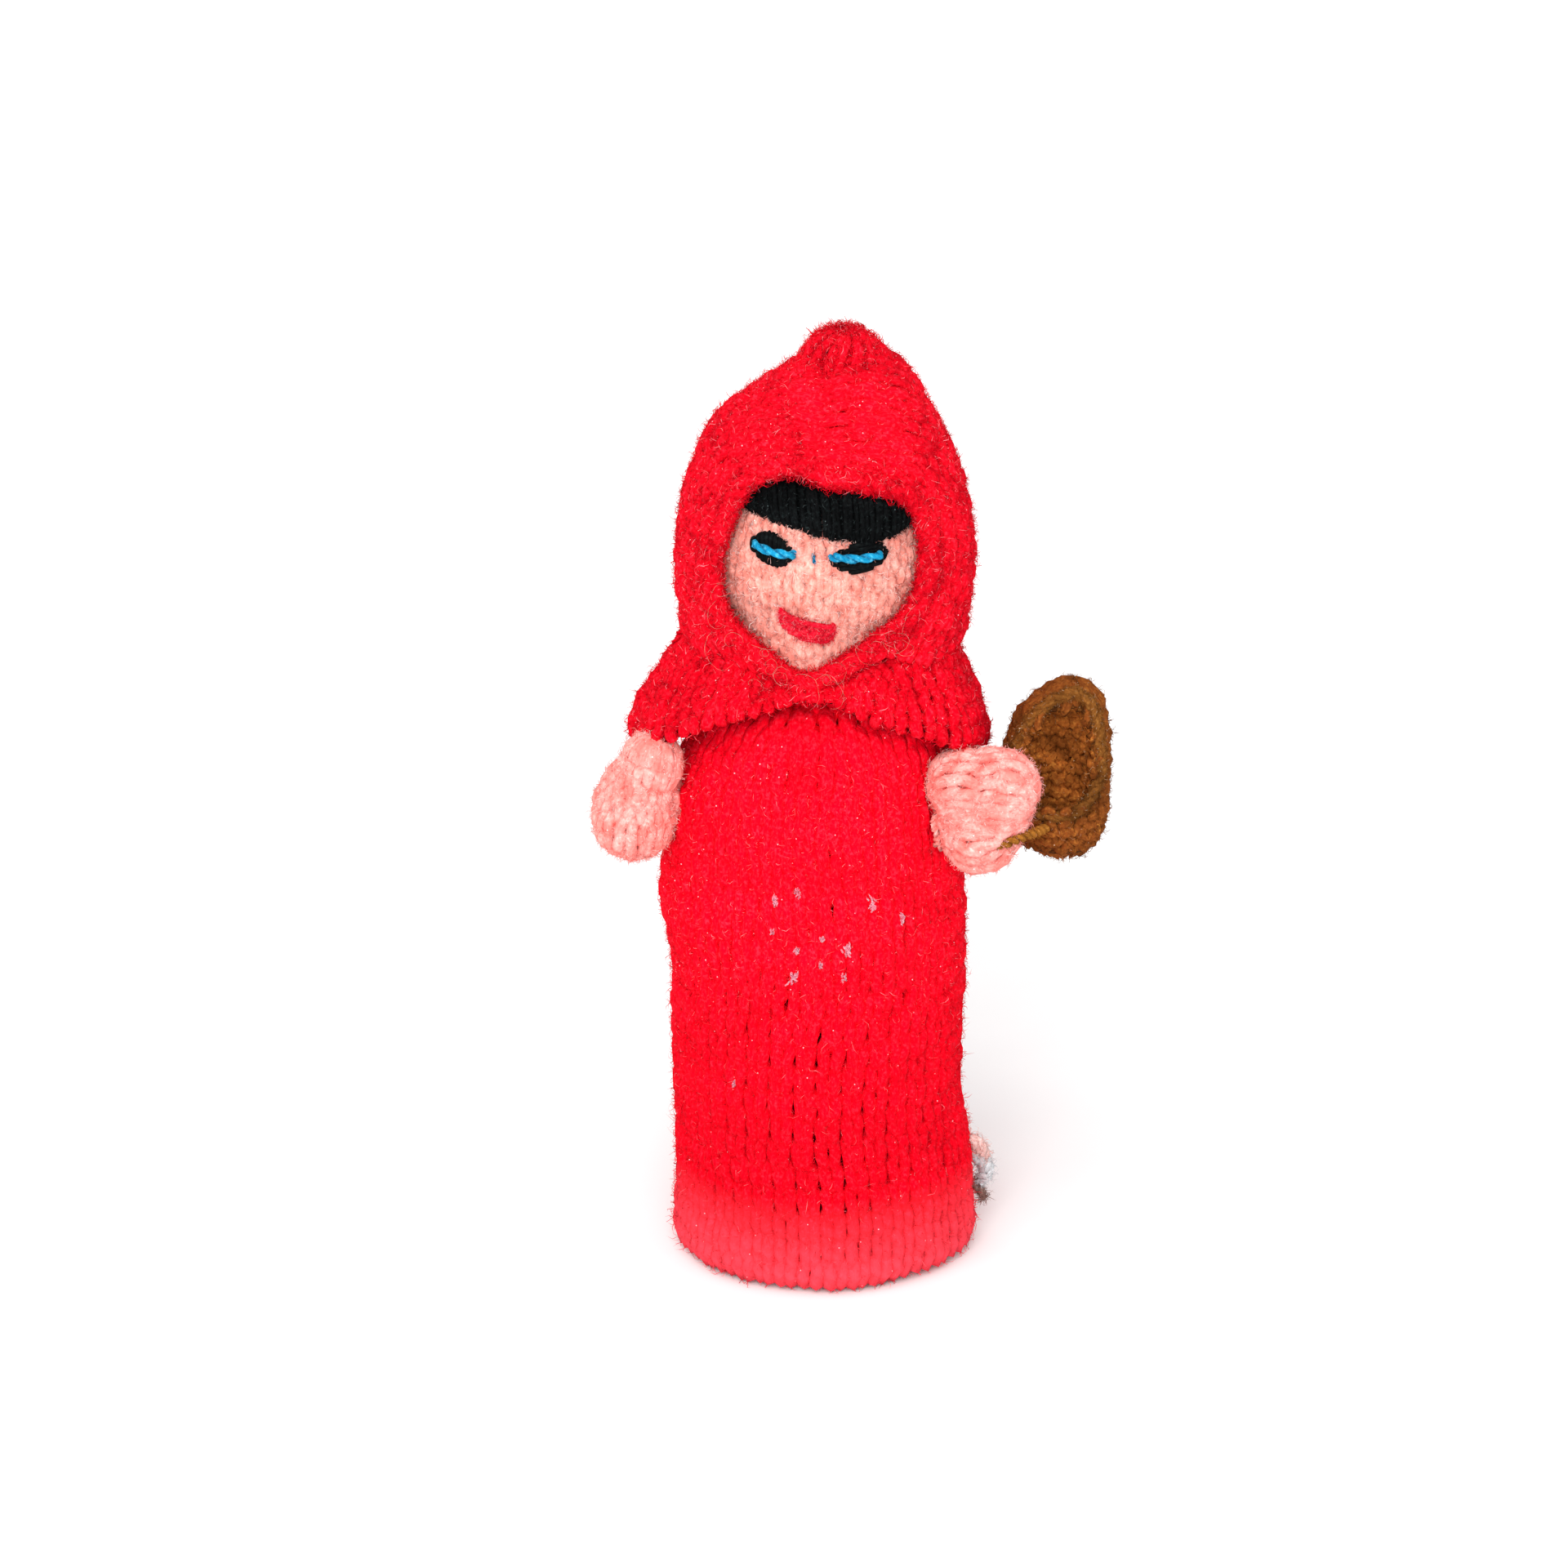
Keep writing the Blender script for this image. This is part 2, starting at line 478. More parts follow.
MAT["black"] = yarn_material("black_yarn", (0.0042, 0.0045, 0.005), (0.001, 0.001, 0.001), (0.014, 0.02, 0.02), sheen=0.0, fleck=0.12, fleck_col=(0.10, 0.13, 0.13), ply_turn=2.0)
MAT["blue"] = yarn_material("blue_yarn", (0.005, 0.30, 0.56), (0.002, 0.10, 0.24), (0.12, 0.62, 0.86), sheen=0.05, fleck=0.6, fleck_col=(0.7, 0.95, 1))
MAT["mouth"] = yarn_material("mouth_yarn", (0.86, 0.004, 0.03), (0.55, 0.002, 0.012), (0.98, 0.12, 0.15), sheen=0.05, fleck=0.4)
MAT["white"] = yarn_material("white_wadding", (0.88, 0.85, 0.85), (0.62, 0.5, 0.5), (1, 1, 1), sheen=0.2, fleck=0, mottle=0.2)
MAT["wisp"] = yarn_material("pink_wadding_wisp", (0.96, 0.30, 0.40), (0.8, 0.05, 0.1), (1, 0.7, 0.76), sheen=0.1, fleck=0, mottle=0.3)
MAT["pale"] = yarn_material("pale_yarn_end", (0.90, 0.55, 0.50), (0.6, 0.3, 0.26), (0.98, 0.85, 0.84), sheen=0.15, fleck=0.3, fleck_col=(1, 1, 1))
MAT["grey"] = yarn_material("grey_yarn_end", (0.66, 0.67, 0.69), (0.40, 0.39, 0.40), (0.92, 0.92, 0.94), sheen=0.15, fleck=0.3, fleck_col=(1, 1, 1))
MAT["dark_end"] = yarn_material("dark_yarn_end", (0.30, 0.16, 0.13), (0.12, 0.06, 0.05), (0.5, 0.36, 0.32), sheen=0.1, fleck=0.2)


def dress_up(ob, material, body, replaces=()):
    ob.data.materials.clear()
    ob.data.materials.append(MAT[material])
    if body:
        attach(ob, body)
    for n in replaces:
        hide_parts(n)
    return ob



# ---------------------------------------------------------------- camera, floor and light
def make_camera():
    cam = bpy.data.objects.new("camera", bpy.data.cameras.new("camera"))
    bpy.context.scene.collection.objects.link(cam)
    el, dist, aim = math.radians(21.7), 0.600, np.array([-0.00316, 0, 0.04495])
    at = aim + dist * np.array([0, -math.cos(el), math.sin(el)])
    cam.location = at
    cam.rotation_euler = (math.pi / 2 - el, 0, 0)
    cam.data.lens, cam.data.sensor_width = 152.5, 36
    cam.data.clip_start, cam.data.clip_end = 0.01, 50
    bpy.context.scene.camera = cam


def area(name, at, aim, size, power, color=(1, 1, 1)):
    d = bpy.data.lights.new(name, "AREA")
    d.shape, d.size, d.energy, d.color = "DISK", size, power, color
    o = bpy.data.objects.new(name, d)
    bpy.context.scene.collection.objects.link(o)
    o.location = at
    v = np.array(aim) - np.array(at)
    from mathutils import Vector
    o.rotation_euler = Vector(v).to_track_quat("-Z", "Y").to_euler()


def make_stage():
    me = bpy.data.meshes.new("floor")
    n = 96
    V = [(0, 0, -0.00002)] + [(6 * math.cos(k / n * TAU), 6 * math.sin(k / n * TAU), -0.00002) for k in range(n)]
    me.from_pydata(V, [], [(0, 1 + k, 1 + (k + 1) % n) for k in range(n)])
    ob = bpy.data.objects.new("floor", me)
    bpy.context.scene.collection.objects.link(ob)
    m = bpy.data.materials.new("pale_floor")
    m.use_nodes = True
    nt = m.node_tree
    b = nt.nodes["Principled BSDF"]
    ns = nt.nodes.new("ShaderNodeTexNoise")
    ns.inputs["Scale"].default_value = 900
    mr = nt.nodes.new("ShaderNodeMapRange")
    mr.inputs[3].default_value, mr.inputs[4].default_value = 0.86, 0.90
    nt.links.new(ns.outputs[0], mr.inputs[0])
    cc = nt.nodes.new("ShaderNodeCombineColor")
    for k in range(3):
        nt.links.new(mr.outputs[0], cc.inputs[k])
    nt.links.new(cc.outputs[0], b.inputs["Base Color"])
    b.inputs["Roughness"].default_value = 0.9
    b.inputs["Specular IOR Level"].default_value = 0.1
    me.materials.append(m)
    w = bpy.data.worlds.new("studio")
    bpy.context.scene.world = w
    w.use_nodes = True
    w.node_tree.nodes["Background"].inputs[0].default_value = (1, 1, 1, 1)
    w.node_tree.nodes["Background"].inputs[1].default_value = 0.80
    for name, power, angle, rx, rz in (("key", 1.50, 60, 44, -24), ("fill", 0.50, 70, 60, 36)):
        d = bpy.data.lights.new(name, "SUN")
        d.energy, d.angle = power, math.radians(angle)
        o = bpy.data.objects.new(name, d)
        bpy.context.scene.collection.objects.link(o)
        o.rotation_euler = (math.radians(rx), 0, math.radians(rz))
    area("front_soft_box", (-0.05, -0.50, 0.30), (0, 0, 0.05), 0.30, 1.5)
    bpy.context.scene.view_settings.view_transform = "Standard"
    bpy.context.scene.view_settings.look = "None"


make_camera()
make_stage()


# ---------------------------------------------------------------- dress
def dress():
    mid = chaikin([(11.55, 4.4), (11.3, 2.8), (11.35, 1.5), (12.0, 1.05), (12.55, 1.6), (12.35, 3.6), (12.1, 6), (12.2, 14), (12.3, 21),
                   (12.5, 28), (12.35, 33.5), (12.1, 38), (11.8, 42), (11.45, 46), (10.9, 49.4), (9.9, 51.9), (8.1, 53.8), (5.8, 54.7), (4.4, 54.9)])
    L = arc(mid)[-1]
    n = 36
    pitch = 2.42

    def surf(n):
        def S(u, v):
            rz = along(mid, np.clip(v * pitch, 0, L))
            ph = u / n * TAU + 0.03 * np.sin(v * 0.55)
            r = rz[..., 0] + 0.12 * np.sin(3 * ph + 1.2) * smooth01(rz[..., 1] / 20) + 0.10 * np.sin(5 * ph + v * 0.4)
            z = rz[..., 1]
            az = np.mod(ph + math.pi, TAU) - math.pi
            r = r + 1.25 * np.exp(-((az + 1.55) / 0.75) ** 2) * smooth01((z - 27) / 9) * (1 - smooth01((z - 44) / 6))
            r = r + 1.15 * np.exp(-((az - 1.5) / 0.8) ** 2) * (1 - smooth01((z - 8) / 9)) * smooth01(z / 2 + 0.4)
            return np.stack([r * np.sin(ph), -r * np.cos(ph), z], -1)
        return S

    axis = lambda p: np.stack([p[..., 0] * 0, p[..., 1] * 0, p[..., 2]], -1)
    hem = np.array([11.95, 0, 3.0])

    def centre(p):
        # the rolled hem's stitches face away from the roll's own middle
        rr = np.hypot(p[..., 0], p[..., 1])
        k = np.where(p[..., 2] < 3.0, hem[0], 0.0) / np.maximum(rr, 1e-6)
        return np.stack([p[..., 0] * k, p[..., 1] * k, np.where(p[..., 2] < 3.0, hem[2], np.minimum(p[..., 2], 44))], -1)

    top = int((L) / pitch)
    t = Tubes()
    fat = lambda p: 1.0 + 0.12 * smooth01((p[..., 2] - 27) / 8) + 0.06 * smooth01((9 - p[..., 2]) / 8)
    lower = [k for k in range(4, 12)]
    knit(t, surf(n), centre, [0.75 + k for k in range(0, 4)], n, r=0.68, D=0.32, a=0.13, b=0.02, seed=13, wob=0.07, rough=0.12, fat=fat)
    knit(t, surf(n), centre, [0.75 + k for k in lower], n, r=0.67, D=0.39, a=0.155, b=0.05, seed=11, wob=0.08, rough=0.16, fat=fat)
    knit(t, surf(n), centre, [0.75 + k for k in range(12, 21)], n, r=0.66, D=0.34, a=0.13, b=0.015, seed=15, wob=0.12, rough=0.17, fat=fat)
    knit(t, surf(26), centre, [0.75 + k for k in (21, 22)], 26, r=0.74, D=0.34, a=0.13, b=0.02, seed=21, wob=0.09, fat=fat)
    knit(t, surf(17), centre, [0.75 + k for k in (23, 24)], 17, r=0.74, D=0.34, a=0.13, b=0.02, seed=31, wob=0.09, fat=fat)
    ob = dress_up(t.build("dress_stitches"), "dress", "torso")
    back = sheet_of("dress_tube_cloth", surf(n), np.arange(72) / 2, np.arange(0.3, L / pitch, 0.5), centre, 0.22, -0.62, wrap=True)
    dress_up(back, "dress_deep", "torso", ["dress_tube"])
    f = fuzz("dress_fuzz_upper", t, 28000, 0.62, 101, keep=lambda V: (V[:, 2] > 27) & (V[:, 2] < 51), lying=0.7, rad=0.024, pale=4.5)
    dress_up(f, "dress", "torso")
    f2 = fuzz("dress_fuzz_lower", t, 20000, 0.85, 131, keep=lambda V: (np.hypot(V[:, 0], V[:, 1]) > 12.0) & (V[:, 2] < 27.5), lying=0.7, rad=0.024, pale=9.0)
    dress_up(f2, "dress", "torso")
    return t


MAT["dress_deep"] = yarn_material("red_dress_inside", (0.34, 0.0, 0.005), (0.16, 0.0, 0.002), (0.5, 0.01, 0.02), sheen=0.02, fleck=0)
MAT["cape_deep"] = yarn_material("red_cape_inside", (0.26, 0.0, 0.004), (0.12, 0.0, 0.002), (0.4, 0.01, 0.02), sheen=0.1, fleck=0)
MAT["hood_deep"] = yarn_material("red_hood_inside", (0.36, 0.001, 0.006), (0.16, 0.0, 0.002), (0.5, 0.01, 0.02), sheen=0.1, fleck=0)
MAT["face_deep"] = yarn_material("peach_inside", (0.82, 0.29, 0.21), (0.66, 0.18, 0.13), (0.9, 0.45, 0.36), sheen=0.1, fleck=0)
MAT["arm_deep"] = yarn_material("pink_inside", (0.95, 0.34, 0.29), (0.8, 0.22, 0.18), (0.98, 0.5, 0.44), sheen=0.1, fleck=0)
MAT["basket_deep"] = yarn_material("brown_inside", (0.13, 0.036, 0.008), (0.06, 0.018, 0.004), (0.2, 0.07, 0.015), sheen=0.05, fleck=0)


# ---------------------------------------------------------------- cape
def cape():
    # top edge (radius, height) and hem (radius, height) by the angle from the front, the basket side positive
    knots = np.array([-180, -135, -90, -70, -62, -50, -25, -11, 0, 10, 21, 37, 45, 60, 75, 90, 135, 180.0])
    top_r = np.interp(np.abs(knots), [0, 25, 45, 60, 180], [7.7, 8.3, 9.6, 10.4, 10.9])
    top_z = np.interp(np.abs(knots), [0, 25, 45, 60, 180], [58.1, 58.9, 60.2, 60.9, 60.5])
    end_r = np.array([15.4, 15.6, 15.4, 14.9, 14.3, 13.2, 11.0, 9.9, 9.7, 10.0, 10.9, 12.6, 13.6, 14.7, 15.4, 15.9, 15.9, 15.4])
    end_z = np.array([47.0, 47.6, 48.9, 50.4, 51.2, 53.1, 55.8, 56.8, 56.9, 56.5, 55.8, 54.5, 53.1, 51.4, 50.1, 49.1, 47.6, 47.0])
    fine = np.linspace(-180, 180, 181)
    ker = np.hanning(9)[1:-1]; ker /= ker.sum()
    def spread(v):
        q = np.interp(fine, knots, v)[:-1]
        return np.convolve(np.concatenate([q[-3:], q, q[:3]]), ker, "valid")
    tr, tz, er, ez = (spread(v) for v in (top_r, top_z, end_r, end_z))
    size = np.clip(np.hypot(er - tr, ez - tz) / 11, 0.12, 1)[:, None]
    P0, P3 = np.stack([tr, tz], -1), np.stack([er, ez], -1)
    P1 = P0 + size * [0.6, -2.4] + (1 - size) * [0.7, 0.35]
    P2 = P3 + size * [0.1, 4.4] + (1 - size) * [-0.6, 0.35]
    w = np.linspace(0, 1, 41)[None, :, None]
    bez = (1 - w) ** 3 * P0[:, None] + 3 * w * (1 - w) ** 2 * P1[:, None] + 3 * w ** 2 * (1 - w) * P2[:, None] + w ** 3 * P3[:, None]
    prof = np.array([along(q, np.linspace(0, 1, 41) * arc(q)[-1]) for q in bez])
    prof = np.concatenate([prof, prof[:1]])
    ncol, nrow = 38, 6

    def S(u, v):
        p = np.mod(u / ncol * TAU + math.pi, TAU) - math.pi
        i = (p / math.pi + 1) * 90
        j = np.clip(v / nrow, 0, 1) * 40
        i0, j0 = np.clip(i.astype(int), 0, 179), np.clip(j.astype(int), 0, 39)
        a, b = (i - i0)[..., None], (j - j0)[..., None]
        rz = (prof[i0, j0] * (1 - a) + prof[i0 + 1, j0] * a) * (1 - b) + (prof[i0, j0 + 1] * (1 - a) + prof[i0 + 1, j0 + 1] * a) * b
        w = smooth01(v / nrow)
        r = rz[..., 0] + w * (0.30 * np.sin(6 * p + 0.8) + 0.22 * np.sin(11 * p + 2.0) * smooth01(np.abs(p) / 0.5))
        z = rz[..., 1] + w * 0.25 * np.sin(7 * p + 1.0)
        cx = -1.1 * w
        return np.stack([cx + r * np.sin(p), -r * np.cos(p), z], -1)

    out = lambda p: np.stack([p[..., 0] * 0 - 1.0, p[..., 1] * 0, p[..., 2] * 0 + 44.0], -1)
    t = Tubes()
    knit(t, S, out, [0.4 + k for k in range(nrow)], ncol, r=0.60, D=0.30, a=0.15, b=0.04, A=0.74, seed=41, wob=0.15, rough=0.24, per=12)
    body = dress_up(t.build("cape_stitches"), "cape", None)
    back = sheet_of("cape_cloth", S, np.arange(120) / 3, np.linspace(0.05, nrow - 0.1, 26), out, 0.25, -0.35, wrap=True)
    dress_up(back, "cape_deep", None, ["cape"])
    f = fuzz("cape_fuzz", t, 18000, 0.7, 102, lying=0.6, rad=0.024, pale=5.0)
    dress_up(f, "cape", None)
    for o in (body, back, f):
        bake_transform(o)
    # short stitches that hold the cape to the dress at the neck
    s = Tubes()
    lo, hi = mm("cape_neck_stitches")
    for k in range(7):
        p = math.radians(-150 + 50 * k)
        e = Field(k + 70, 4, 4)
        c = S(np.array([p / TAU * ncol]), np.array([0.9]))[0]
        d = S(np.array([p / TAU * ncol + 0.5]), np.array([1.9]))[0]
        nn = unit(c - np.array([0, 0, 50]))
        path = [c - nn * 0.5, c + nn * 0.75, (c + d) / 2 + nn * 0.95, d + nn * 0.6, d - nn * 0.5]
        ply(s, chaikin(path, 2), 0.36, 1.6, seed=60 + k)
    st = dress_up(s.build("cape_neck_stitch_yarn"), "cape", None, ["cape_neck_stitches"])
    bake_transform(st)
    return t, S


# ---------------------------------------------------------------- hood
EDGE = chaikin([(-7.3, -6.6, 74.6), (-6.3, -6.9, 76.5), (-4.6, -7.1, 77.5), (-2.8, -7.3, 77.9), (-1.0, -7.6, 77.7), (0.7, -7.8, 76.7), (2.8, -7.6, 76.6), (6.2, -6.9, 75.6),
                (8.1, -6.5, 74.2), (8.9, -6.6, 72.1), (9.3, -6.8, 69.3), (8.9, -7.1, 66.6), (8.0, -7.5, 64.4), (6.8, -7.9, 63.0), (4.9, -8.4, 61.5), (3.6, -8.9, 60.6),
                (2.0, -9.3, 59.7), (0.3, -9.6, 58.7), (-1.5, -9.5, 58.1), (-3.0, -9.3, 58.8), (-4.4, -8.8, 59.8), (-5.5, -8.2, 60.6), (-6.6, -7.6, 61.5), (-7.8, -7.0, 62.7),
                (-8.7, -6.8, 64.2), (-9.2, -6.7, 66.5), (-9.2, -6.7, 68.7), (-8.8, -6.6, 70.6), (-8.1, -6.6, 72.5)], 2, True)
EDGE[:, 0] += 0.45 * smooth01((EDGE[:, 0] - 4) / 4) - 0.35 * smooth01((-4 - EDGE[:, 0]) / 4)
HC = np.array([0.5, 0.0, 69.0])


def hood_shape():
    outer = chaikin([(11.0, 55.5), (12.5, 57.5), (12.95, 60), (13.45, 64), (13.6, 68), (13.25, 71.5), (12.3, 75), (10.7, 78.6), (8.8, 81.4), (6.3, 84), (3.9, 85.9), (1.8, 87.0), (0, 87.4)])
    zz, rr = outer[:, 1], outer[:, 0]

    def R(z):
        return np.interp(z, zz, rr) - 1.1 - 0.5 * smooth01((z - 79) / 3)

    def rho(d):
        lo, hi = np.full(d.shape[:-1], 3.0), np.full(d.shape[:-1], 26.0)
        for _ in range(34):
            m = (lo + hi) / 2
            p = HC + d * m[..., None]
            cx = 0.5 + 1.9 * smooth01((p[..., 2] - 78) / 7)
            ky = np.where(p[..., 1] < 0, 0.90 - 0.08 * smooth01((p[..., 2] - 70) / 8), 1.0)
            g = np.hypot(p[..., 0] - cx, p[..., 1] / ky) - np.maximum(R(p[..., 2]), 0.001)
            inside = g < 0
            lo, hi = np.where(inside, m, lo), np.where(inside, hi, m)
        return (lo + hi) / 2

    al = np.linspace(-153, 153, 181) * math.pi / 180
    ang = np.arctan2(EDGE[:, 0] - 0.3, EDGE[:, 2] - 67)
    o = np.argsort(ang)
    A, E = ang[o], EDGE[o]
    A = np.concatenate([A - TAU, A, A + TAU]); E = np.concatenate([E, E, E])
    e = np.stack([np.interp(al, A, E[:, k]) for k in range(3)], -1)
    el = np.linalg.norm(e - HC, axis=1)
    ed = (e - HC) / el[:, None]
    k = np.abs(al) / math.radians(153)
    mu = np.sign(al) * math.radians(129) * k ** 0.92
    m = np.stack([np.sin(mu), 0.05 * np.sin(np.abs(mu)), np.cos(mu)], -1)
    gam = np.radians(60 - 100 * k ** 0.9)
    b = np.stack([0 * gam, np.cos(gam), np.sin(gam)], -1)
    c = 2 * m - (ed + b) / 2
    s = np.linspace(0, 1, 121)[None, :, None]
    D = unit((1 - s) ** 2 * ed[:, None] + 2 * s * (1 - s) * c[:, None] + s ** 2 * b[:, None])
    rr = rho(D)
    w = smooth01(s[..., 0] / 0.22)
    rr = el[:, None] * (1 - w) + rr * w
    P = HC + D * rr[..., None]
    G = np.array([along(p, np.linspace(0, 1, 97) * arc(p)[-1]) for p in P])
    return G


def hood():
    G = hood_shape()
    na, nb = G.shape[0] - 1, G.shape[1] - 1
    nrow, ncol = 34, 14

    def S(u, v):
        i = np.clip(v / nrow, 0, 1) * na
        j = np.clip(u / ncol, 0, 1) * nb
        i0, j0 = np.clip(i.astype(int), 0, na - 1), np.clip(j.astype(int), 0, nb - 1)
        a, b = (i - i0)[..., None], (j - j0)[..., None]
        return (G[i0, j0] * (1 - a) + G[i0 + 1, j0] * a) * (1 - b) + (G[i0, j0 + 1] * (1 - a) + G[i0 + 1, j0 + 1] * a) * b

    out = lambda p: np.broadcast_to(HC + np.array([0, 2, -2]), p.shape)
    t = Tubes()
    knit(t, S, out, [0.5 + k for k in range(nrow)], ncol, r=0.66, D=0.34, a=0.15, b=0.04, A=0.78, seed=51, wob=0.17, rough=0.26, closed=False, per=14)
    body = dress_up(t.build("hood_stitches"), "hood", "head")
    back = sheet_of("hood_cloth", S, np.linspace(0.15, ncol, 44), np.linspace(0, nrow, 90), out, 0.25, -0.4)
    dress_up(back, "hood_deep", "head", ["hood"])
    f = fuzz("hood_fuzz", t, 28000, 0.68, 103, keep=lambda V: V[:, 1] < 6, lying=0.65, rad=0.024, pale=5.0)
    fb = fuzz("hood_fuzz_back", t, 9000, 0.9, 133, keep=lambda V: V[:, 1] >= 6, lying=0.5, rad=0.026)
    dress_up(fb, "hood", "head")
    dress_up(f, "hood", "head")
    # the gathered tip
    g = Tubes()
    lo, hi = mm("hood_tip_gather")
    c0 = (lo + hi) / 2
    n = 15
    for k in range(n):
        p = k / n * TAU + 0.1 * math.sin(k * 2.1)
        d = np.array([math.cos(p), math.sin(p), 0])
        tw = np.array([-math.sin(p), math.cos(p), 0])
        base = np.array([c0[0], c0[1], lo[2]])
        pts = [base + d * 3.5 + [0, 0, -1.6], base + d * 3.15 + tw * 0.2 + [0, 0, -0.4], base + d * 2.7 + tw * 0.5 + [0, 0, 0.8], base + d * 1.6 + tw * 0.7 + [0, 0, 1.5], base + d * 0.35 + tw * 0.3 + [0, 0, 1.75]]
        g.add(along(chaikin(pts), np.linspace(0, 1, 16) * arc(chaikin(pts))[-1])[None], (0.62 - 0.12 * np.linspace(0, 1, 16))[None], N=np.broadcast_to(unit(d + [0, 0, 1.0]), (1, 16, 3)), h=np.full((1, 16), 0.1), H=1.0, tone=np.array([0.4 + 0.02 * k]), flat=0.9)
    th = np.linspace(0, TAU, 40, endpoint=False)
    for rr_, z_ in ((3.45, -1.1),):
        ring = np.stack([c0[0] + rr_ * np.cos(th), c0[1] + rr_ * np.sin(th), lo[2] + z_ + 0.2 * np.sin(5 * th)], -1)
        ply(g, ring, 0.5, 2.0, closed=True, seed=8, N=(0, 0, 1))
    tip = dress_up(g.build("hood_tip_gather_yarn"), "hood", "head", ["hood_tip_gather"])
    f2 = fuzz("hood_tip_fuzz", g, 4200, 0.8, 104, lying=0.6)
    dress_up(f2, "hood", "head")
    # seam up the back: whipped stitches
    s = Tubes()
    seam = G[:, -1]
    up = seam[: na // 2 + 1]
    L = arc(up)[-1]
    q = np.arange(0.8, L - 0.5, 1.9)
    for k, x in enumerate(q):
        a0, b0 = along(up, np.array([x]))[0], along(up, np.array([min(L, x + 1.2)]))[0]
        nn = unit(np.array([0, a0[1], (a0[2] - 68) * 0.6]))
        pts = [a0 + [-1.0, 0, 0] - nn * 0.1, a0 + [-0.7, 0, 0] + nn * 0.95, (a0 + b0) / 2 + nn * 1.25, b0 + [0.7, 0, 0] + nn * 0.95, b0 + [1.0, 0, 0] - nn * 0.1]
        ply(s, chaikin(pts, 2), 0.40, 1.7, seed=200 + k, N=nn)
    dress_up(s.build("hood_back_seam_yarn"), "hood", "head", ["hood_back_seam"])
    # cast-off edge round the face
    e = Tubes()
    ply(e, EDGE, 0.88, 5.2, plies=3, closed=True, spread=0.36, sides=8, seed=9, N=(0, -1, 0), step=0.28)
    cord = dress_up(e.build("hood_edge_cord_yarn"), "edge", "head", ["hood_edge_cord"])
    f3 = fuzz("hood_edge_fuzz", e, 9000, 0.8, 105, lying=0.6)
    dress_up(f3, "edge", "head")
    return t, G


# ---------------------------------------------------------------- head and face
HEAD = np.array([0.3, 0.0, 67.8])


def face_point(x, z, lift=0.0):
    """A point on the face in front of (x, z), lifted off the cover."""
    dirs = []
    x, z = np.broadcast_arrays(np.asarray(x, float), np.asarray(z, float))
    y = np.full(x.shape, 9.0)
    lo, hi = np.full(x.shape, -14.0), np.full(x.shape, 0.5)
    for _ in range(30):
        m = (lo + hi) / 2
        inside = head_level(np.stack([x, m, z], -1)) < 0
        hi, lo = np.where(inside, m, hi), np.where(inside, lo, m)
    p = np.stack([x, (lo + hi) / 2, z], -1)
    e = 0.05
    g = np.stack([head_level(p + np.eye(3)[k] * e) - head_level(p - np.eye(3)[k] * e) for k in range(3)], -1)
    return p + unit(g) * np.asarray(lift)[..., None], unit(g)


def head_level(p):
    """Below zero inside the stuffed head: a ball with a small chin and cheeks."""
    a = np.linalg.norm(p - HEAD, axis=-1) - 10.2
    q = (p - np.array([-0.7, -4.9, 60.9])) / np.array([1.05, 1.0, 1.0])
    b = np.linalg.norm(q, axis=-1) - 4.25
    k = 2.6
    h = np.clip(0.5 + 0.5 * (b - a) / k, 0, 1)
    return b * (1 - h) + a * h - k * h * (1 - h)


def face():
    dx = 2.05 / 10.2
    ncol, nrow = 15, 13
    u_half = ncol / 2

    def S(u, v):
        az = (u - u_half) * dx
        el = -1.25 + v * (2.3 / nrow)
        d = np.stack([np.sin(az) * np.cos(el * 0.98), -np.cos(az) * np.cos(el), np.sin(el)], -1)
        d = unit(d)
        c = HEAD + np.array([0, -1.0, -1.0])
        lo, hi = np.full(d.shape[:-1], 2.0), np.full(d.shape[:-1], 18.0)
        for _ in range(26):
            m = (lo + hi) / 2
            inside = head_level(c + d * m[..., None]) < 0
            lo, hi = np.where(inside, m, lo), np.where(inside, hi, m)
        return c + d * ((lo + hi) / 2 - 0.72)[..., None]

    out = lambda p: np.broadcast_to(HEAD, p.shape)
    t = Tubes()
    knit(t, S, out, [0.5 + k for k in range(nrow)], ncol, r=0.54, D=0.22, a=0.18, b=0.0, A=0.8, seed=61, wob=0.12, rough=0.10, closed=False, per=14)
    body = dress_up(t.build("head_cover_stitches"), "face", "head")
    back = sheet_of("head_cover_cloth", S, np.linspace(0, ncol, 60), np.linspace(0, nrow, 50), out, 0.25, -0.15)
    dress_up(back, "face_deep", "head", ["head_cover"])
    f = fuzz("face_fuzz", t, 19000, 0.8, 106, keep=lambda V: V[:, 1] < -4.0, rad=0.022, lying=0.65, pale=1.6)
    dress_up(f, "face", "head")


def satin(tubes, pairs, r, lift, bulge, seed, seg=12, jit=0.12, tone=0.5):
    """Straight laid strands from one point of the face to another, bowed off it."""
    rg = np.random.default_rng(seed)
    s = np.linspace(0, 1, seg)
    for (x0, z0), (x1, z1) in pairs:
        x = x0 + (x1 - x0) * s + rg.normal(0, jit * 0.3)
        z = z0 + (z1 - z0) * s
        h = lift + bulge * np.sin(math.pi * np.clip(s, 0, 1)) ** 0.6 + rg.uniform(-0.08, 0.08)
        h = np.where((s < 0.02) | (s > 0.98), lift - 0.5, h)
        p, n = face_point(x, z, h)
        tubes.add(p[None], (r * (1 + 0.06 * rg.uniform(-1, 1)) * np.ones(seg))[None], N=n[None], h=np.full((1, seg), 0.2), H=1.0, tone=np.array([tone + 0.4 * rg.uniform(-1, 1)]))


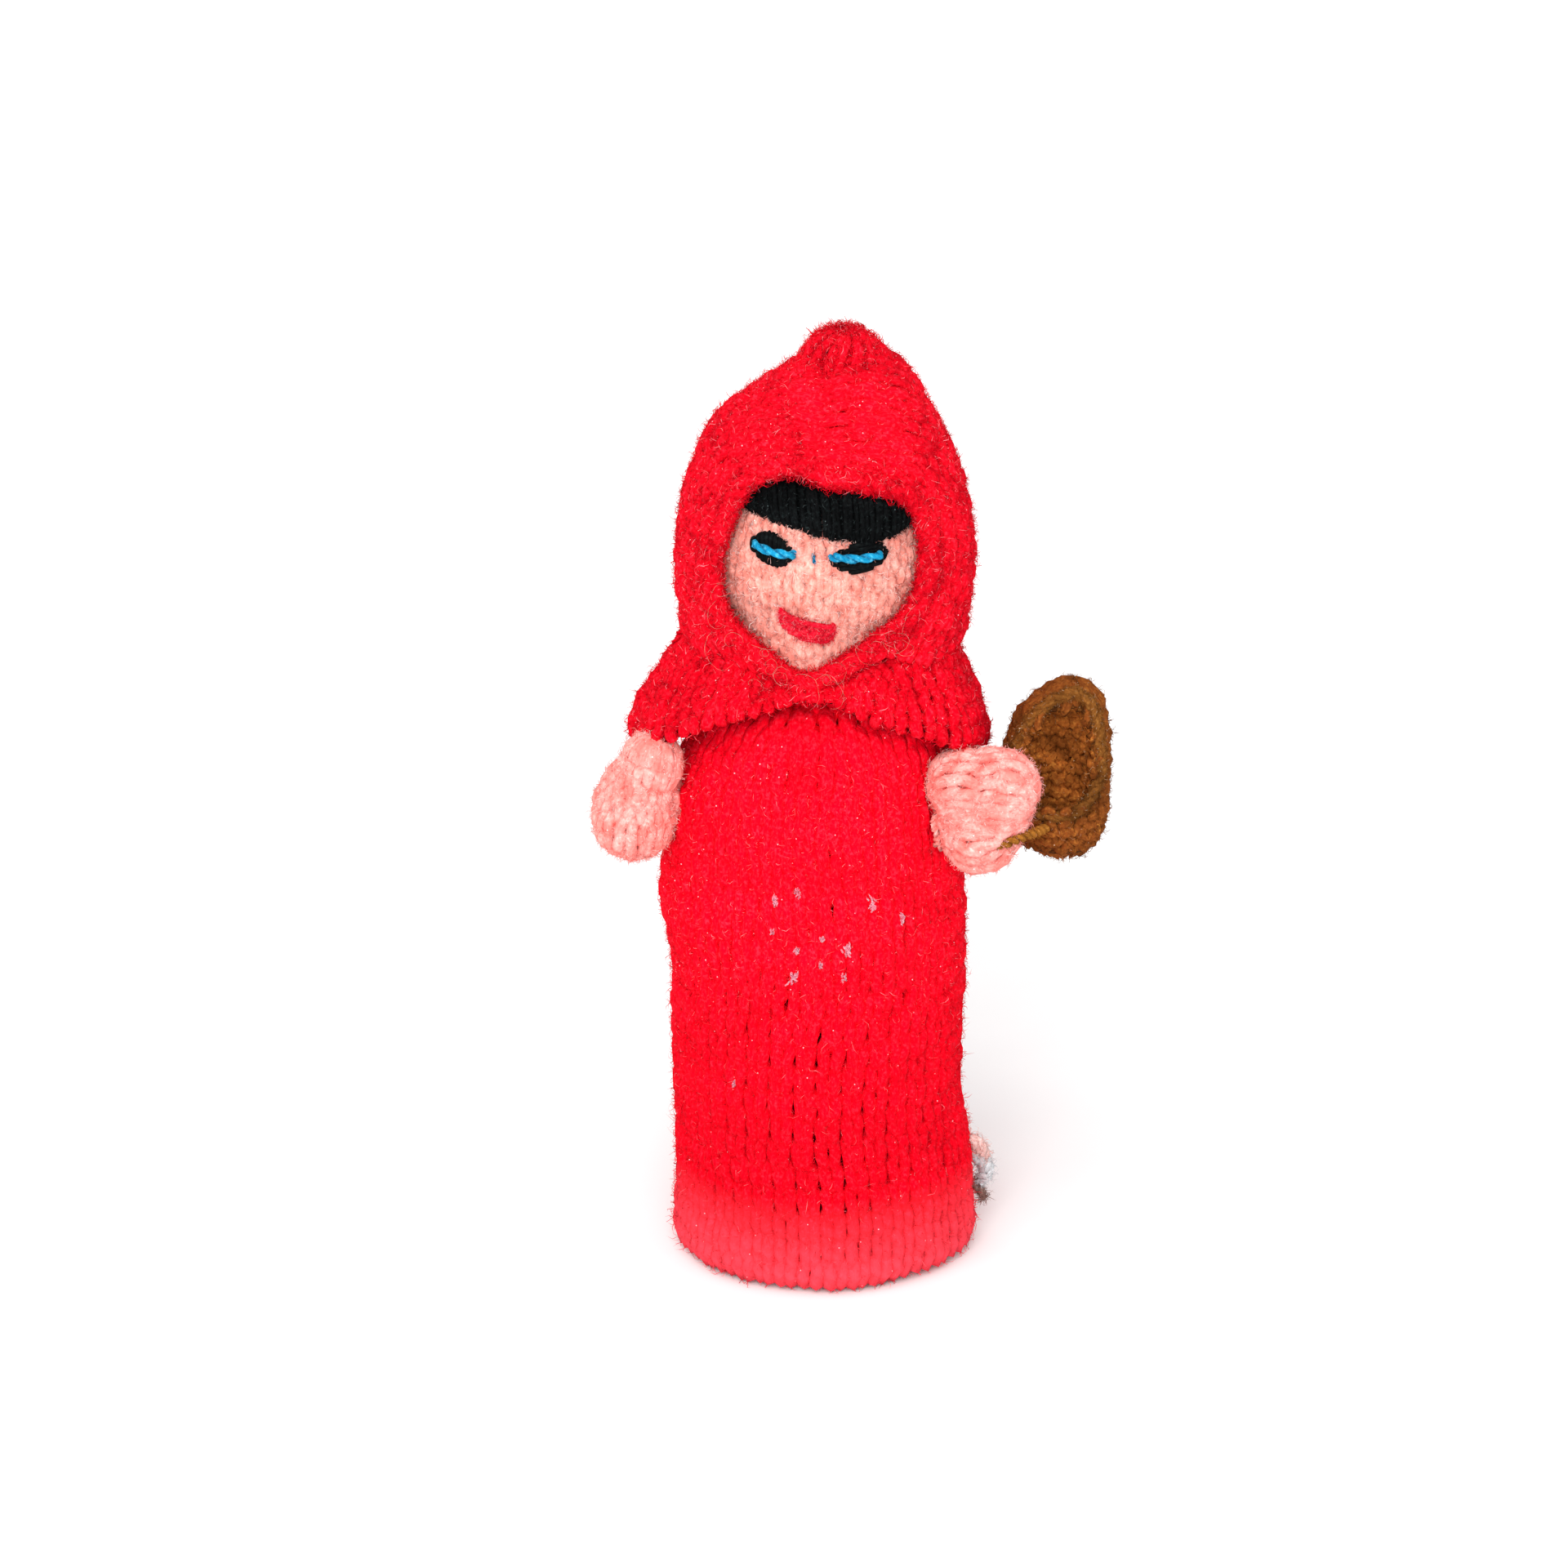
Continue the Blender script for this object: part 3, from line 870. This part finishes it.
def features():
    # fringe: close upright strands
    top = np.array([(-6.5, 74.9), (-6.0, 75.5), (-5.2, 75.9), (-3.9, 75.8), (-2.6, 76.0), (-1.0, 75.95), (0.5, 75.3), (2.5, 75.4), (4.1, 75.0), (5.7, 74.7), (7.2, 74.2), (7.7, 73.9)])
    bot = np.array([(-6.3, 73.5), (-6.0, 73.2), (-4.9, 73.15), (-3.9, 72.9), (-1.9, 72.5), (0.5, 72.0), (2.3, 71.6), (4.0, 71.2), (5.4, 71.3), (6.4, 71.5), (7.3, 71.8), (7.7, 72.4)])
    t = Tubes()
    for layer, (lift, bulge, gap) in enumerate(((0.10, 0.45, 0.52), (0.45, 0.75, 0.42))):
        xs = np.arange(-6.3, 7.3, gap) + (0.2 if layer else 0.0)
        pairs = []
        rg = np.random.default_rng(80 + layer)
        for x in xs:
            zt, zb = np.interp(x, top[:, 0], top[:, 1]), np.interp(x, bot[:, 0], bot[:, 1])
            m = 0.0 if layer == 0 else 0.1
            tilt = 0.25 * rg.uniform(-1, 1) + 0.3
            pairs.append(((x - tilt * 0.3, zt - m), (x + tilt * 0.5, zb + m + 0.12 * rg.uniform(-1, 1))))
        satin(t, pairs, 0.40 if layer == 0 else 0.26, lift, bulge, 82 + layer, jit=0.35)
    fr = dress_up(t.build("hair_fringe_strands"), "black", "head", ["hair_fringe"])
    dress_up(fuzz("hair_fringe_fuzz", t, 5000, 0.5, 107, rad=0.022, lying=0.5, low=0.5), "black", "head")
    # eyes
    a = Tubes()
    w = np.linspace(-1, 1, 9)
    satin(a, [((-4.15 + 1.55 * x, 70.55 + 1.35 * math.sqrt(max(0.08, 1 - x * x)) - 0.2 * x), (-4.15 + 1.55 * x, 70.5 - 1.3 * math.sqrt(max(0.08, 1 - x * x)) - 0.2 * x)) for x in w * 0.93], 0.27, 0.12, 0.25, 84)
    dress_up(a.build("eye_patch_free_side_strands"), "black", "head", ["eye_patch_free_side"])
    b = Tubes()
    w = np.linspace(-1, 1, 7)
    satin(b, [((3.55 - 2.5 * math.sqrt(max(0.1, 1 - x * x)), 69.95 + 1.15 * x), (3.55 + 2.5 * math.sqrt(max(0.1, 1 - x * x)), 70.2 + 1.15 * x)) for x in w * 0.92], 0.27, 0.12, 0.25, 85)
    dress_up(b.build("eye_patch_basket_side_strands"), "black", "head", ["eye_patch_basket_side"])
    for name, p0, p1, node in (("eye_strand_free_side_yarn", (-5.6, 70.85), (-2.3, 70.35), "eye_strand_free_side"), ("eye_strand_basket_side_yarn", (1.1, 70.3), (5.15, 70.1), "eye_strand_basket_side")):
        s = np.linspace(0, 1, 16)
        p, n = face_point(p0[0] + (p1[0] - p0[0]) * s, p0[1] + (p1[1] - p0[1]) * s - 0.15 * np.sin(math.pi * s), np.where((s < 0.03) | (s > 0.97), -0.25, 0.72 + 0.12 * np.sin(math.pi * s)))
        e = Tubes()
        ply(e, chaikin(p, 2), 0.36, 3.0, seed=12, N=(0, -1, 0.2), spread=0.5, step=0.16, sides=8)
        dress_up(e.build(name), "blue", "head", [node])
    k = Tubes()
    p, n = face_point(np.array([-0.62, -0.55, -0.5]), np.array([70.5, 70.1, 69.7]), np.array([-0.1, 0.12, -0.1]))
    ply(k, chaikin(p, 2), 0.15, 1.0, seed=13)
    dress_up(k.build("blue_fleck_yarn"), "blue", "head")
    # mouth
    mth = Tubes()
    P0 = [((-3.45, 65.0), (-1.3, 64.0)), ((-3.6, 64.6), (1.3, 63.6)), ((-3.7, 64.15), (1.35, 63.25)), ((-3.5, 63.65), (1.3, 62.9)), ((-2.9, 63.15), (1.15, 62.6)),
          ((-1.9, 62.7), (0.8, 62.35)), ((-3.4, 64.9), (-0.6, 63.8)), ((-0.4, 62.5), (1.25, 63.5))]
    satin(mth, P0, 0.27, 0.10, 0.2, 86, seg=14, tone=0.5)
    dress_up(mth.build("mouth_strands"), "mouth", "head", ["mouth_stitches"])
    dress_up(fuzz("mouth_fuzz", mth, 1200, 0.45, 108, rad=0.022, lying=0.6, pale=3.0), "mouth", "head")


# ---------------------------------------------------------------- arms
def blob_surface(C, balls, axis, nrow, ncol, inset, p=7, front=(0, -1, 0)):
    C = np.array(C, float)
    ax = unit(np.array(axis, float))
    x = unit(np.cross(ax, np.array(front, float)))
    y = np.cross(ax, x)

    def rad(d):
        tot = 0
        for c, r in balls:
            v = np.array(c) - C
            dv = d @ v
            disc = dv ** 2 - v @ v + r * r
            t = np.where(disc > 0, dv + np.sqrt(np.maximum(disc, 0)), 0)
            tot = tot + np.maximum(t, 0.05) ** p
        return tot ** (1 / p)

    def S(u, v):
        ph = u / ncol * TAU
        th = (0.06 + 0.88 * np.clip(v / nrow, -0.064, 1.064)) * math.pi
        d = np.sin(th)[..., None] * (np.cos(ph)[..., None] * x + np.sin(ph)[..., None] * y) + np.cos(th)[..., None] * ax
        return C + d * np.maximum(rad(d) - inset, 0.2)[..., None]
    return S, C


def arm(name, node, body, C, balls, axis, nrow, ncol, seed, front=(0, -1, 0)):
    S, C = blob_surface(C, balls, axis, nrow, ncol, 0.75, front=front)
    out = lambda p: np.broadcast_to(C, p.shape)
    t = Tubes()
    knit(t, S, out, [0.5 + k for k in range(nrow)], ncol, r=0.58, D=0.24, a=0.15, b=0.02, A=0.8, seed=seed, wob=0.16, rough=0.18, per=14)
    ob = dress_up(t.build(name + "_stitches"), "arm", body)
    back = sheet_of(name + "_cloth", S, np.arange(ncol * 3) / 3, np.linspace(-0.062, 1.062, nrow * 3 + 4) * nrow, out, 0.2, -0.25, wrap=True)
    dress_up(back, "arm_deep", body, [node])
    f = fuzz(name + "_fuzz", t, 8000, 0.65, seed + 5, rad=0.022, lying=0.65, pale=1.8)
    dress_up(f, "arm", body)
    return t


def arms():
    arm("free_arm_cover", "free_arm_cover", "free_arm", (-15.7, -5.2, 45.8), [((-16.6, -5.2, 43.5), 3.65), ((-16.7, -5.2, 45.6), 3.3), ((-14.8, -6.0, 49.7), 2.5), ((-15.6, -5.6, 47.6), 2.7), ((-14.2, -3.0, 45.0), 2.6)], (0.22, -0.10, 1.0), 8, 12, 71)
    arm("basket_arm_cover", "basket_arm_cover", "basket_arm", (14.4, -8.0, 45.9), [((14.4, -8.3, 43.0), 3.2), ((16.4, -8.3, 48.4), 3.1), ((12.6, -7.6, 48.2), 3.1), ((13.6, -7.8, 45.2), 3.1), ((16.0, -8.3, 45.6), 2.9)], (1.0, -0.12, 0.06), 6, 14, 76)
    for name, node, body, c, d in (("free_shoulder_stitch_yarn", "free_shoulder_stitches", "free_shoulder", (-13.8, -2.5, 44.2), (0.984, 0.178, 0)),
                                   ("basket_shoulder_stitch_yarn", "basket_shoulder_stitches", "basket_shoulder", (12.38, -6.58, 44.0), (-0.883, 0.469, 0))):
        d = unit(np.array(d, float))
        x = unit(np.cross(d, [0, 0, 1.0])); y = np.cross(d, x)
        th = np.linspace(0, TAU, 36, endpoint=False)[:, None]
        ring = np.array(c) + d * (0.95 + 0.25 * np.sin(th * 6)) + (np.cos(th) * x + np.sin(th) * y) * (2.5 + 0.1 * np.cos(th * 6))
        t = Tubes()
        ply(t, ring, 0.36, 1.5, closed=True, seed=14, N=d)
        dress_up(t.build(name), "arm", body, [node])


# ---------------------------------------------------------------- basket
def basket():
    tz = np.array([39.3, 40.1, 41.5, 43.2, 45, 47.5, 50, 52, 53.6, 54.8, 55.6])
    hx = np.array([0.04, 2.7, 3.6, 4.0, 4.2, 4.35, 4.15, 3.7, 2.9, 1.9, 0.04])
    cx = np.array([21.9, 21.8, 21.55, 21.4, 21.3, 21.25, 21.35, 21.6, 22.0, 22.4, 22.7])
    hy = np.array([0.04, 2.3, 3.3, 3.9, 4.1, 4.15, 4.0, 3.5, 2.7, 1.6, 0.04])
    nrow, ncol = 12, 18
    z0, z1 = tz[0], tz[-1]
    YC = -2.2

    def S(u, v):
        z = z0 + (z1 - z0) * np.clip(v / nrow, 0, 1)
        a, b, c = np.interp(z, tz, hx), np.interp(z, tz, hy), np.interp(z, tz, cx)
        ph = u / ncol * TAU
        sx, sy = np.sin(ph), -np.cos(ph)
        return np.stack([c + a * sx, YC + b * sy, z], -1)

    def span(row, f):
        # the mouth is open to the front above the low front wall
        z = z0 + (z1 - z0) * (row / nrow)
        b = np.interp(z, tz, hy)
        cut = (-4.45 - YC) / -b
        ph0 = math.acos(np.clip(cut, -1, 1)) / TAU * ncol if z > 44.0 else 0.0
        return ph0 + f * (ncol - 2 * ph0)

    out = lambda p: np.stack([p[..., 0] * 0 + 21.5, p[..., 1] * 0 + YC, np.clip(p[..., 2], 43, 51)], -1)
    t = Tubes()
    lo_rows = [1.0 + 0.8 * k for k in range(12) if z0 + (z1 - z0) * ((1.0 + 0.8 * k) / nrow) <= 44.6]
    hi_rows = [0.5 + k for k in range(12) if z0 + (z1 - z0) * ((0.5 + k) / nrow) > 44.0]
    knit(t, S, out, lo_rows, ncol, r=0.40, D=0.34, a=0.12, b=0.05, seed=91, wob=0.10, rough=0.14, per=12, purl=True, fat=lambda p: 0.8 + 0.25 * smooth01((p[..., 2] - 39.5) / 2.5))
    knit(t, S, out, hi_rows, ncol, r=0.40, D=0.34, a=0.12, b=0.05, seed=93, wob=0.14, rough=0.22, per=12, closed=False, span=span)
    ob = dress_up(t.build("basket_cup_stitches"), "basket", "basket")
    # the purl side of the fabric fills the inside with rough bumps
    inner = lambda u, v: S(u, v) * [0, 0, 1] + (S(u, v) * [1, 1, 0] - np.stack([np.interp(z0 + (z1 - z0) * np.clip(v / nrow, 0, 1), tz, cx), 0 * u + YC, 0 * u], -1)) * 0.84 + np.stack([np.interp(z0 + (z1 - z0) * np.clip(v / nrow, 0, 1), tz, cx), 0 * u + YC - 1.0, 0 * u], -1)
    ti = Tubes()
    knit(ti, inner, out, [2.4 + 0.85 * k for k in range(10)], 17, r=0.44, D=0.30, a=0.10, b=0.04, A=0.62, seed=96, wob=0.22, rough=0.35, per=12, closed=False, span=lambda row, f: 3.3 + f * (ncol - 6.6))
    ti.lift = [1 - 0.9 * x for x in ti.lift]
    ti.n = [-x for x in ti.n]
    lin = dress_up(ti.build("basket_lining_stitches"), "lining", "basket")
    fl = fuzz("basket_lining_fuzz", ti, 5000, 0.55, 139, rad=0.022, low=0.4, lying=0.6)
    dress_up(fl, "lining", "basket")
    us, vs = np.arange(72) / 4, np.linspace(0, nrow, 62)
    back = sheet_of("basket_cup_cloth", S, us, vs, out, 0.3, 0.0, wrap=True, keep=lambda c: ~((c[:, 1] < -4.5) & (c[:, 2] > 44.2)))
    dress_up(back, "basket_deep", "basket", ["basket_cup"])
    f = fuzz("basket_fuzz", t, 6000, 0.55, 109, rad=0.022, low=0.3, lying=0.6)
    dress_up(f, "basket", "basket")
    # rolled rim
    th = np.linspace(0, TAU, 72, endpoint=False)
    zc = 50.0
    z = zc + np.where(np.cos(th) > 0, 5.55, 5.8) * np.cos(th)
    lohi = np.interp(z, tz, hx)
    b = np.interp(z, tz, hy)
    c = np.interp(z, tz, cx)
    xs = c + np.sin(th) * np.minimum(3.65, 3.9)
    xs = c + np.clip(np.sin(th) * 4.4, -np.maximum(lohi - 0.35, 0.4), np.maximum(lohi - 0.35, 0.4))
    y = YC - b * np.sqrt(np.clip(1 - ((xs - c) / np.maximum(lohi, 0.3)) ** 2, 0, 1)) * 1.0
    y = np.minimum(-4.2, np.maximum(y, -5.9)) - 0.2
    path = chaikin(np.stack([xs, y, z], -1), 2, True)
    e = Tubes()
    ply(e, path, 0.50, 3.9, plies=3, closed=True, spread=0.42, sides=7, seed=15, N=(0, -1, 0), step=0.25)
    dress_up(e.build("basket_rim_yarn"), "rim", "basket", ["basket_rim"])
    dress_up(fuzz("basket_rim_fuzz", e, 3000, 0.5, 110, rad=0.022, lying=0.6), "rim", "basket")
    # the strand that ties the basket into the hand
    s = Tubes()
    ply(s, chaikin([(20.2, -6.6, 43.3), (19.4, -8.2, 43.6), (18.2, -9.8, 43.9), (16.9, -10.9, 43.7), (15.6, -11.2, 43.4), (14.9, -10.7, 43.2)], 2), 0.42, 1.7, plies=2, seed=16, N=(0, -1, 0), taper=0.6, step=0.2)
    dress_up(s.build("basket_tie_yarn"), "tie", "basket_arm", ["basket_tie"])
    dress_up(fuzz("basket_tie_fuzz", s, 250, 0.5, 111, rad=0.02), "tie", "basket_arm")


MAT["tie"] = yarn_material("orange_brown_yarn", (0.36, 0.13, 0.018), (0.14, 0.045, 0.008), (0.62, 0.26, 0.05), sheen=0.15, fleck=0.2)


# ---------------------------------------------------------------- small pieces
def trims(G):
    for name, node, body, seed, power in (("chest_wadding_fill", "chest_wadding", "torso", 301, 2.6), ("head_wadding_fill", "head_wadding", "head", 302, 2.0), ("free_arm_wadding_fill", "free_arm_wadding", "free_arm", 303, 2.2),
                                          ("basket_arm_wadding_fill", "basket_arm_wadding", "basket_arm", 304, 2.2), ("neck_core_fill", "neck_core", "neck", 305, 2.2)):
        o = dress_up(lump(name, node, seed, 0.4, 0.66 if "arm" in name else 0.93, power, 0.9 if "arm" in name else 0.0), "white", body, [node])
    # neck tie: a wrapped yarn
    lo, hi = mm("neck_tie")
    c = (lo + hi) / 2
    th = np.linspace(0, TAU, 40, endpoint=False)
    r0 = (hi[0] - lo[0]) / 2 - 0.75
    t = Tubes()
    ply(t, np.stack([c[0] + r0 * np.cos(th), c[1] + r0 * np.sin(th), c[2] + 0 * th], -1), 0.72, 2.0, closed=True, seed=17, N=(0, 0, 1))
    dress_up(t.build("neck_tie_yarn"), "hood", "neck_collar", ["neck_tie"])
    # back seam of the dress
    s = Tubes()
    lo, hi = mm("dress_back_seam")
    n = 20
    for k, z in enumerate(np.linspace(max(lo[2], 3.0) + 1, hi[2] - 1, n)):
        rr = np.interp(z, [0, 14, 28, 33.5, 38, 42, 46, 49.4], [13.2, 13.25, 13.6, 13.3, 12.5, 11.85, 11, 9.8]) - 0.15
        pts = [(-0.9, rr - 0.8, z - 0.7), (-0.7, rr - 0.05, z - 0.5), (0.0, rr + 0.2, z), (0.7, rr - 0.05, z + 0.5), (0.9, rr - 0.8, z + 0.7)]
        ply(s, chaikin(pts, 2), 0.38, 1.7, seed=400 + k, N=(0, 1, 0))
    dress_up(s.build("dress_back_seam_yarn"), "dress", "torso", ["dress_back_seam"])
    # loose yarn ends near the hem
    lo, hi = mm("yarn_ends")
    c = (lo + hi) / 2
    for name, key, path, r, seed in (
            ("yarn_end_pink", "pale", [(12.9, 0.4, 8.6), (13.6, 0.2, 9.6), (14.4, 0.4, 9.3), (15.2, 0.8, 8.2), (15.4, 1.0, 7.2)], 0.62, 18),
            ("yarn_end_grey", "grey", [(13.4, 0.8, 8.0), (14.6, 0.9, 7.6), (15.6, 1.1, 6.7), (15.5, 1.3, 5.5), (14.9, 1.4, 4.6)], 0.66, 19),
            ("yarn_end_brown", "dark_end", [(13.6, 1.4, 4.9), (14.5, 1.6, 4.4), (15.2, 1.6, 3.5), (15.4, 1.6, 2.9)], 0.42, 20)):
        t = Tubes()
        ply(t, chaikin(path, 3), r, 2.2, plies=3, seed=seed, N=(1, 0, 0), taper=0.35, step=0.22)
        o = dress_up(t.build(name), key, "torso", ["yarn_ends"] if key == "pale" else [])
        dress_up(fuzz(name + "_fuzz", t, 500, 0.75, seed + 500, rad=0.022), key, "torso")


def tufts():
    """Wisps of the white stuffing that show through the chest stitches."""
    rg = np.random.default_rng(77)
    spots = [(-1.86, 39.8, 1.0), (-3.96, 38.8, 0.9), (4.74, 38.3, 1.15), (7.35, 36.3, 0.9), (0.25, 35.3, 0.5), (-2.0, 34.1, 0.6), (2.5, 34.1, 1.2), (-2.3, 31.6, 1.0), (2.1, 31.4, 0.8), (-7.65, 20.2, 0.6), (-4.25, 35.7, 0.5), (0.1, 32.9, 0.5)]
    t = Tubes()
    for x, z, size in spots:
        R = np.interp(z, [20, 28, 33.5, 38, 42], [13.3, 13.5, 13.45, 13.2, 12.85])
        y = -math.sqrt(R * R - x * x)
        n = unit(np.array([x, y, 0]))
        base = np.array([x, y, z]) - n * 0.1
        for _ in range(int(16 * size)):
            p = base + np.array([rg.normal(0, 0.15), 0, rg.normal(0, 0.22)]) * size
            d = unit(np.array([rg.normal(0, 0.6), 0, rg.choice([-1, 1])]))
            ln = rg.uniform(0.25, 0.5) * size
            pts = np.array([p - n * 0.3, p + d * ln * 0.3 + n * 0.1, p + d * ln * 0.8 + n * 0.08, p + d * ln * 1.1 - n * 0.3])
            t.add(pts[None], np.array([[0.08, 0.11, 0.09, 0.04]]), sides=4, tone=np.array([rg.random()]), h=np.full((1, 4), 0.8 * rg.random()))
    dress_up(t.build("chest_wadding_wisps"), "wisp", "torso")


def loose_fibres(capeS):
    rg = np.random.default_rng(91)
    roots = []
    for a in np.linspace(0, len(EDGE) - 1, 26).astype(int):
        p = EDGE[a]
        if p[2] < 66:
            roots.append(p + np.array([rg.normal(0, 0.5), -1.0, rg.normal(0, 0.5)]))
    dress_up(curls("face_edge_curls", roots + [r + rg.normal(0, 0.6, 3) for r in roots], 92, (3, 8), 0.022), "face", "head")
    pts = [capeS(np.array([u]), np.array([v]))[0] for u, v in ((-6.2, 2.0), (-5.6, 4.2), (-4.4, 5.2), (-5.0, 3.0), (-3.6, 2.6), (4.8, 2.8), (5.6, 4.0), (3.1, 4.2), (-2.6, 4.2))]
    roots = [p + unit(p - np.array([-1, 0, 48])) * 1.1 for p in pts]
    dress_up(curls("cape_curls", roots, 93, (4, 7.5), 0.026, turn=2.2), "dress", "torso")


dress()
_, CAPE_S = cape()
_, HOOD_G = hood()
face()
features()
arms()
basket()
trims(HOOD_G)
tufts()
loose_fibres(CAPE_S)
